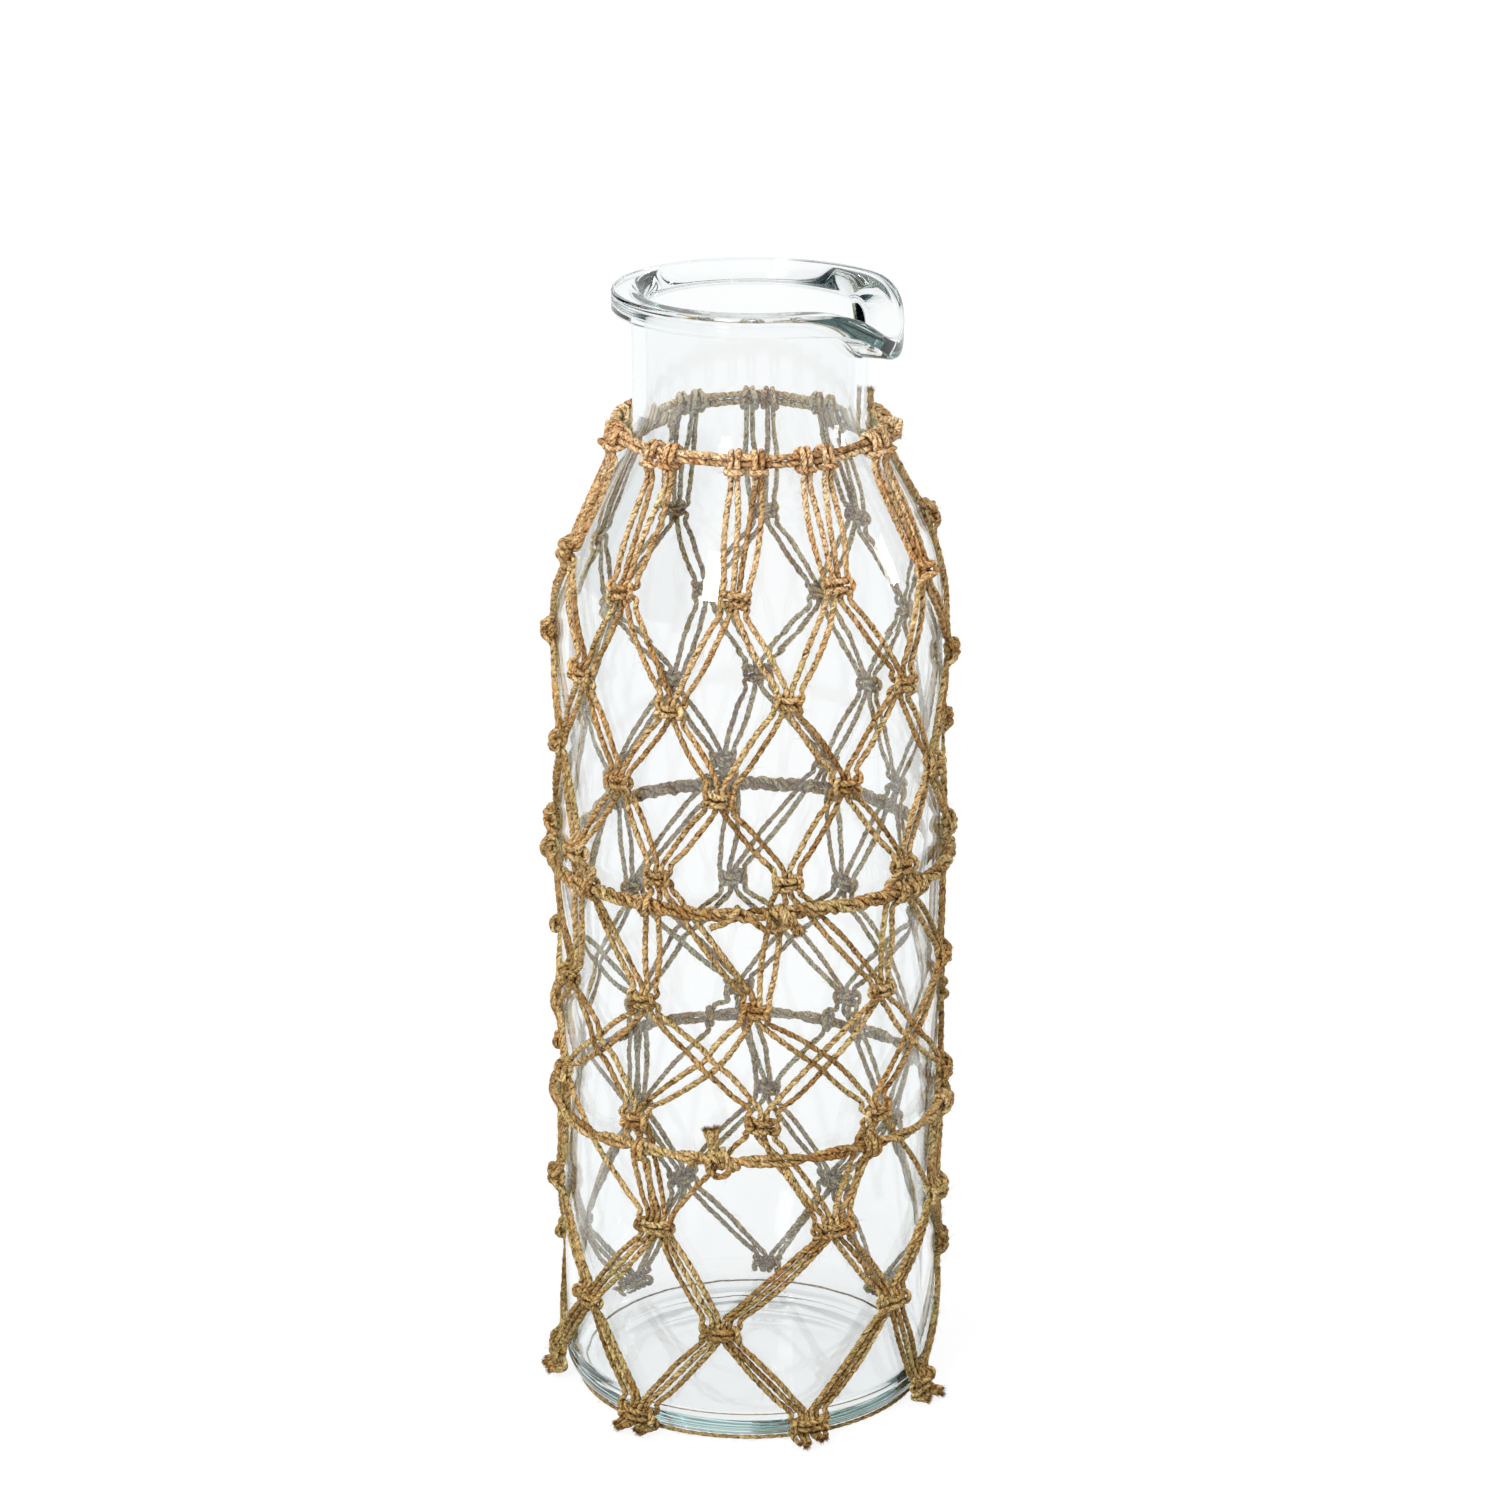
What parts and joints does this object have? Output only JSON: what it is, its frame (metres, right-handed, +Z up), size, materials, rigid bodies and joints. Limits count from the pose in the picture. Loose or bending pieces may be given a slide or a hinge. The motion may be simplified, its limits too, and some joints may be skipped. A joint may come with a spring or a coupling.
{
  "type": "bottle vase",
  "caption": "Clear glass bottle vase with a straight body, rounded shoulder, flanged mouth and pouring spout, wrapped in a knotted jute net.",
  "frame": {"origin": "centre of the flat glass base, on the bottle's axis, on the surface it stands on", "axes": "+Z up along the bottle's axis, +X towards the pouring spout"},
  "size_m": [0.1116, 0.1116, 0.3],
  "materials": {
    "clear_glass": "clear, smooth, fire-polished rim",
    "jute": "dry two-ply twine with loose fibres"
  },
  "bodies": {
    "root": {"glass_bottle": "clear_glass", "neck_ring_cord": "jute", "middle_ring_cord": "jute", "lower_ring_cord": "jute", "base_ring_cord": "jute", "net_cord_01": "jute", "net_cord_02": "jute", "net_cord_03": "jute", "net_cord_04": "jute", "net_cord_05": "jute", "net_cord_06": "jute", "net_cord_07": "jute", "net_cord_08": "jute", "net_cord_09": "jute", "net_cord_10": "jute", "net_cord_11": "jute", "net_cord_12": "jute", "net_cord_13": "jute", "net_cord_14": "jute", "net_cord_15": "jute", "net_cord_16": "jute", "net_cord_17": "jute", "net_cord_18": "jute", "net_cord_19": "jute", "net_cord_20": "jute"}
  },
  "joints": []
}
